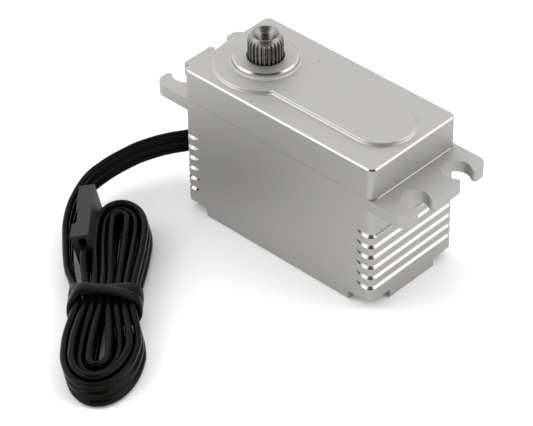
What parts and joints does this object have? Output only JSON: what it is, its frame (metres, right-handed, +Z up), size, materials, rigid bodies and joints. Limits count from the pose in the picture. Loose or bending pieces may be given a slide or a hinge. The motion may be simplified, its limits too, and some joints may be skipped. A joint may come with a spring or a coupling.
{
  "type": "hobby servo motor",
  "caption": "Low-profile robot servo in a finned aluminium case with slotted mounting ears, a splined output shaft and a flat lead tied in a hank.",
  "frame": {"origin": "middle of the underside, on the surface that the servo stands on", "axes": "+Z up along the output shaft; +X along the case, away from the shaft's end, so the lead leaves on the -X side; +Y across the case"},
  "size_m": [0.0597, 0.0673, 0.0337],
  "materials": {
    "case_aluminium": "satin machined",
    "shaft_steel": "dark machined",
    "black_steel": "black oxide",
    "bright_steel": "ground and polished",
    "gear_steel": "hardened, machined",
    "brass": "satin",
    "copper": "enamelled copper wire",
    "magnet": "nickel plated",
    "black_plastic": "matt",
    "grey_plastic": "matt",
    "black_rubber": "matt",
    "lead_jacket": "semi-gloss",
    "board": "solder mask"
  },
  "bodies": {
    "case": {"top_case": "case_aluminium", "middle_case": "case_aluminium", "bottom_cover": "case_aluminium", "case_screw_1": "black_steel", "case_screw_2": "black_steel", "case_screw_3": "black_steel", "case_screw_4": "black_steel", "lead_grommet": "black_rubber", "upper_bearing": "bright_steel", "lower_bearing": "bright_steel", "gear_spacer": "brass", "gear_pin": "bright_steel", "motor_can": "bright_steel", "motor_end_cap": "black_plastic", "motor_stator": "copper", "motor_front_bearing": "bright_steel", "motor_rear_bearing": "bright_steel", "motor_screw_1": "black_steel", "motor_screw_2": "black_steel", "sensor_body": "black_plastic", "sensor_cover": "bright_steel", "sensor_terminal_1": "brass", "sensor_terminal_2": "brass", "sensor_terminal_3": "brass", "circuit_board": "board", "microcontroller": "black_plastic", "capacitor": "bright_steel", "power_transistor_1": "black_plastic", "power_transistor_2": "black_plastic", "power_transistor_3": "black_plastic", "power_transistor_4": "black_plastic", "power_transistor_5": "black_plastic", "power_transistor_6": "black_plastic", "servo_lead": "lead_jacket", "lead_hank": "lead_jacket", "rubber_band": "black_rubber", "connector_housing": "grey_plastic", "connector_contact_1": "brass", "connector_contact_2": "brass", "connector_contact_3": "brass"},
    "output": {"output_shaft": "shaft_steel", "sensor_wiper": "brass"},
    "third_gear": {"third_gear": "gear_steel"},
    "second_gear": {"second_gear": "gear_steel"},
    "first_gear": {"first_gear": "gear_steel"},
    "rotor": {"motor_shaft": "bright_steel", "motor_magnet": "magnet", "motor_pinion": "brass"}
  },
  "joints": [
    {"name": "output_turn", "type": "hinge", "parent": "case", "child": "output", "pos_m": [-0.0114, 0, 0.0249], "axis": [0, 0, 1], "range_deg": [-90, 90]},
    {"name": "third_gear_turn", "type": "hinge", "parent": "case", "child": "third_gear", "pos_m": [-0.00215, 0, 0.0241], "axis": [0, 0, 1], "range_deg": [-243, 243]},
    {"name": "second_gear_turn", "type": "hinge", "parent": "case", "child": "second_gear", "pos_m": [-0.0114, 0, 0.0221], "axis": [0, 0, 1], "range_deg": [-625, 625]},
    {"name": "first_gear_turn", "type": "hinge", "parent": "case", "child": "first_gear", "pos_m": [-0.00215, 0, 0.0204], "axis": [0, 0, 1], "range_deg": [-1979, 1979]},
    {"name": "rotor_turn", "type": "hinge", "parent": "case", "child": "rotor", "pos_m": [0.00625, 0, 0.013], "axis": [0, 0, 1], "range_deg": [-9103, 9103]}
  ],
  "couplings": [
    {"joint": "third_gear_turn", "follows": "output_turn", "ratio": -2.7},
    {"joint": "second_gear_turn", "follows": "output_turn", "ratio": 6.9429},
    {"joint": "first_gear_turn", "follows": "output_turn", "ratio": -21.986},
    {"joint": "rotor_turn", "follows": "output_turn", "ratio": 101.13}
  ]
}
